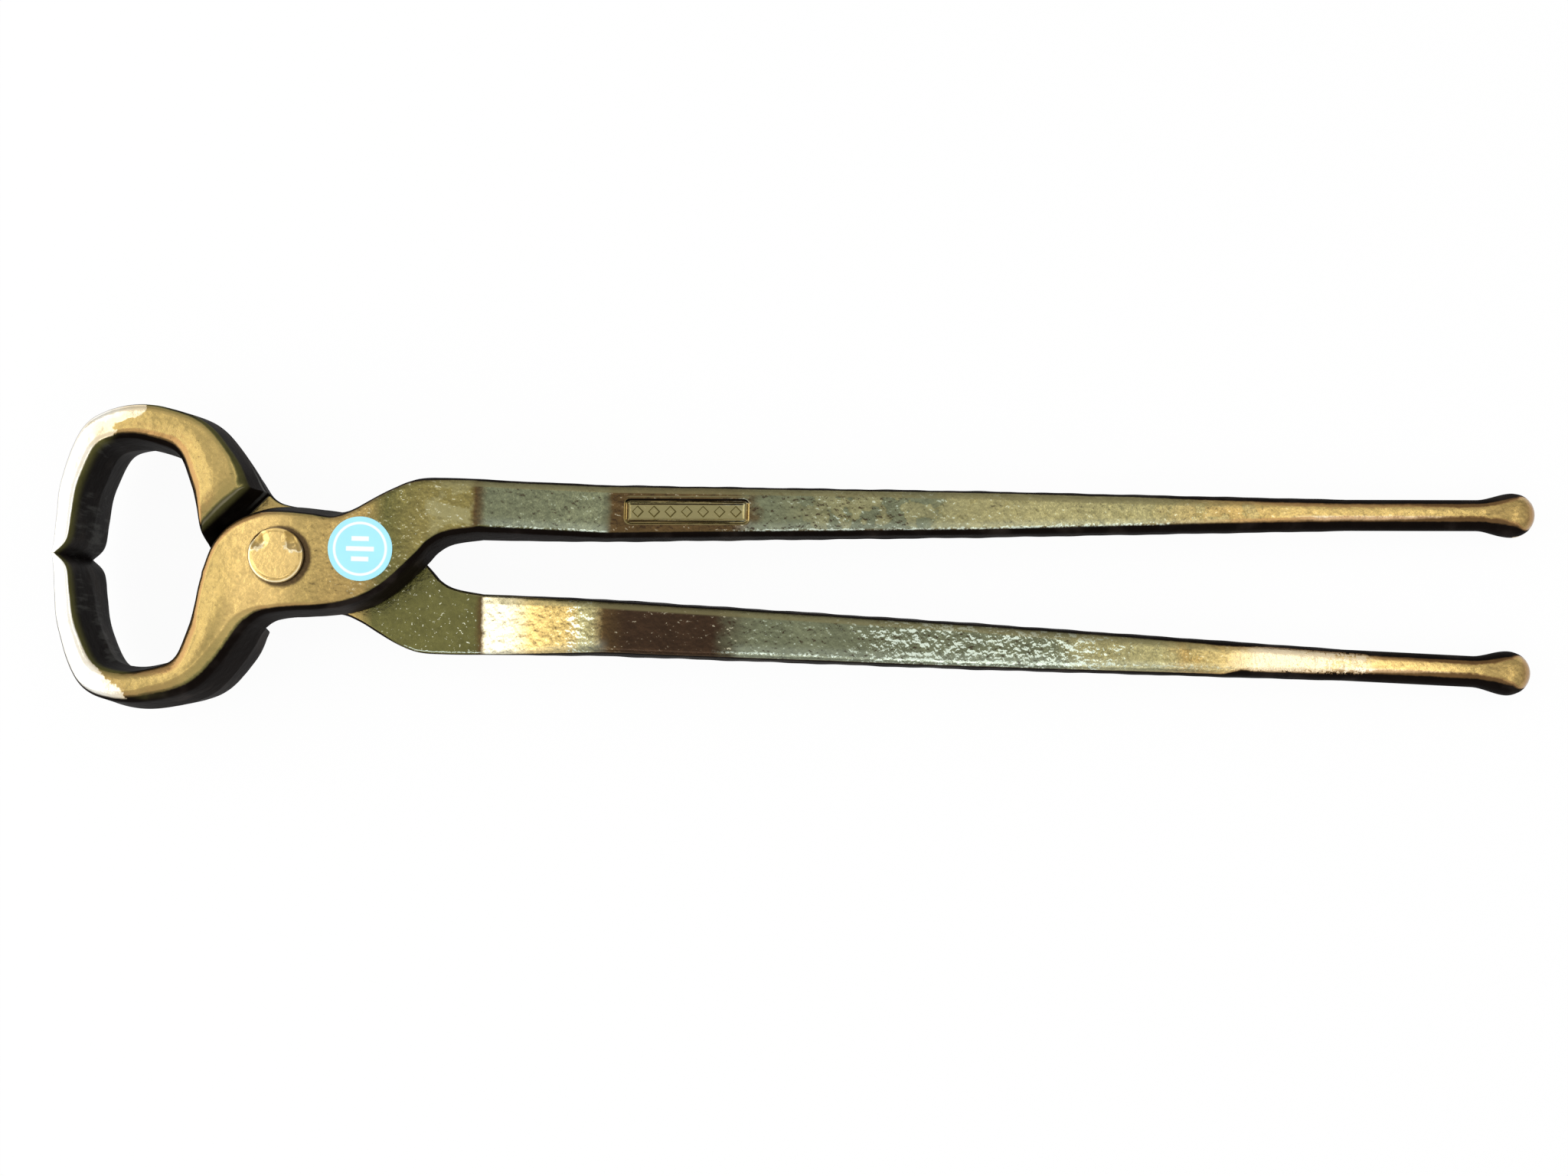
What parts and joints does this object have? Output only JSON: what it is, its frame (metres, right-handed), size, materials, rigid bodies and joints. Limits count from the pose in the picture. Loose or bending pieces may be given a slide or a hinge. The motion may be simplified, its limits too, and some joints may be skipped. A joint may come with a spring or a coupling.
{
  "type": "horseshoe puller",
  "caption": "Farrier's horseshoe puller: lapped forged halves riveted like tongs, with broad curved jaws that meet in thin edges, and long slim reins ending in small knobs.",
  "frame": {"origin": "on the pivot axis, at the flat of the rivet's tail, which is the lowest face of the tool as it lies on its back", "axes": "+X along the reins towards the knobs, +Y across the tool towards the front half's rein, +Z along the pivot axis towards the rivet's head"},
  "size_m": [0.3555, 0.0736, 0.0312],
  "materials": {
    "forged_steel": "drop-forged steel with a lacquered golden-olive heat tint, pitted, dark on its sides",
    "rivet_steel": "peened steel rivet with the same golden lacquer",
    "label_film": "thin light blue adhesive label, satin"
  },
  "bodies": {
    "back": {"back_half": "forged_steel", "rivet": "rivet_steel"},
    "front": {"front_half": "forged_steel", "label": "label_film"}
  },
  "joints": [
    {"name": "pivot", "type": "hinge", "parent": "back", "child": "front", "pos_m": [0, 0, 0.0156], "axis": [0, 0, 1], "range_deg": [0, 45]}
  ]
}
